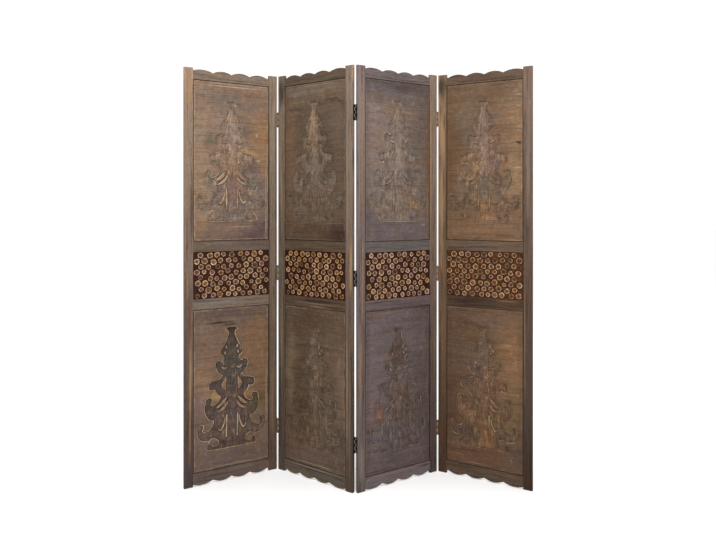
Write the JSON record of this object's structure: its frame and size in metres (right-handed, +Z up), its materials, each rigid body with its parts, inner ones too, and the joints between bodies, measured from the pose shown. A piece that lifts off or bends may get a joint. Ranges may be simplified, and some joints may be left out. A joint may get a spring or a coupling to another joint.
{
  "type": "folding screen",
  "caption": "Folding wooden screen of framed panels in a zigzag, with sunk carved fir trees and a band of round log slices across each panel.",
  "frame": {"origin": "floor level under the middle of the bounding box", "axes": "+X across the screen to the right as seen from the front, +Y away from the viewer, +Z up"},
  "size_m": [1.407, 0.2474, 1.7],
  "materials": {
    "frame": "washed stain, satin",
    "boards": "washed stain, satin",
    "backing": "dark stain, matte",
    "slices": "end grain, satin",
    "hinge_leaves": "bronzed",
    "pins": "bronzed, rubbed",
    "screws": "bronzed"
  },
  "bodies": {
    "panel_1": {"left_stile_1": "frame", "right_stile_1": "frame", "top_rail_1": "frame", "bottom_rail_1": "frame", "upper_mid_rail_1": "frame", "lower_mid_rail_1": "frame", "upper_board_1": "boards", "lower_board_1": "boards", "band_backing_1": "backing", "log_slices_1": "slices", "hinge_leaves_1_right": "hinge_leaves", "hinge_screws_1_right": "screws"},
    "panel_2": {"left_stile_2": "frame", "right_stile_2": "frame", "top_rail_2": "frame", "bottom_rail_2": "frame", "upper_mid_rail_2": "frame", "lower_mid_rail_2": "frame", "upper_board_2": "boards", "lower_board_2": "boards", "band_backing_2": "backing", "log_slices_2": "slices", "hinge_leaves_2_left": "hinge_leaves", "hinge_screws_2_left": "screws", "hinge_leaves_2_right": "hinge_leaves", "hinge_screws_2_right": "screws", "hinge_pins_12": "pins", "hinge_pins_23": "pins"},
    "panel_3": {"left_stile_3": "frame", "right_stile_3": "frame", "top_rail_3": "frame", "bottom_rail_3": "frame", "upper_mid_rail_3": "frame", "lower_mid_rail_3": "frame", "upper_board_3": "boards", "lower_board_3": "boards", "band_backing_3": "backing", "log_slices_3": "slices", "hinge_leaves_3_left": "hinge_leaves", "hinge_screws_3_left": "screws", "hinge_leaves_3_right": "hinge_leaves", "hinge_screws_3_right": "screws", "hinge_pins_34": "pins"},
    "panel_4": {"left_stile_4": "frame", "right_stile_4": "frame", "top_rail_4": "frame", "bottom_rail_4": "frame", "upper_mid_rail_4": "frame", "lower_mid_rail_4": "frame", "upper_board_4": "boards", "lower_board_4": "boards", "band_backing_4": "backing", "log_slices_4": "slices", "hinge_leaves_4_left": "hinge_leaves", "hinge_screws_4_left": "screws"}
  },
  "joints": [
    {"name": "fold_12", "type": "hinge", "parent": "panel_2", "child": "panel_1", "pos_m": [-0.34698, 0.11329, 0.85], "axis": [0, 0, 1], "range_deg": [-66, 114]},
    {"name": "fold_23", "type": "hinge", "parent": "panel_2", "child": "panel_3", "pos_m": [-0.00914, -0.11363, 0.85], "axis": [0, 0, 1], "range_deg": [-68, 112]},
    {"name": "fold_34", "type": "hinge", "parent": "panel_3", "child": "panel_4", "pos_m": [0.34371, 0.08917, 0.85], "axis": [0, 0, 1], "range_deg": [-119, 61]}
  ]
}
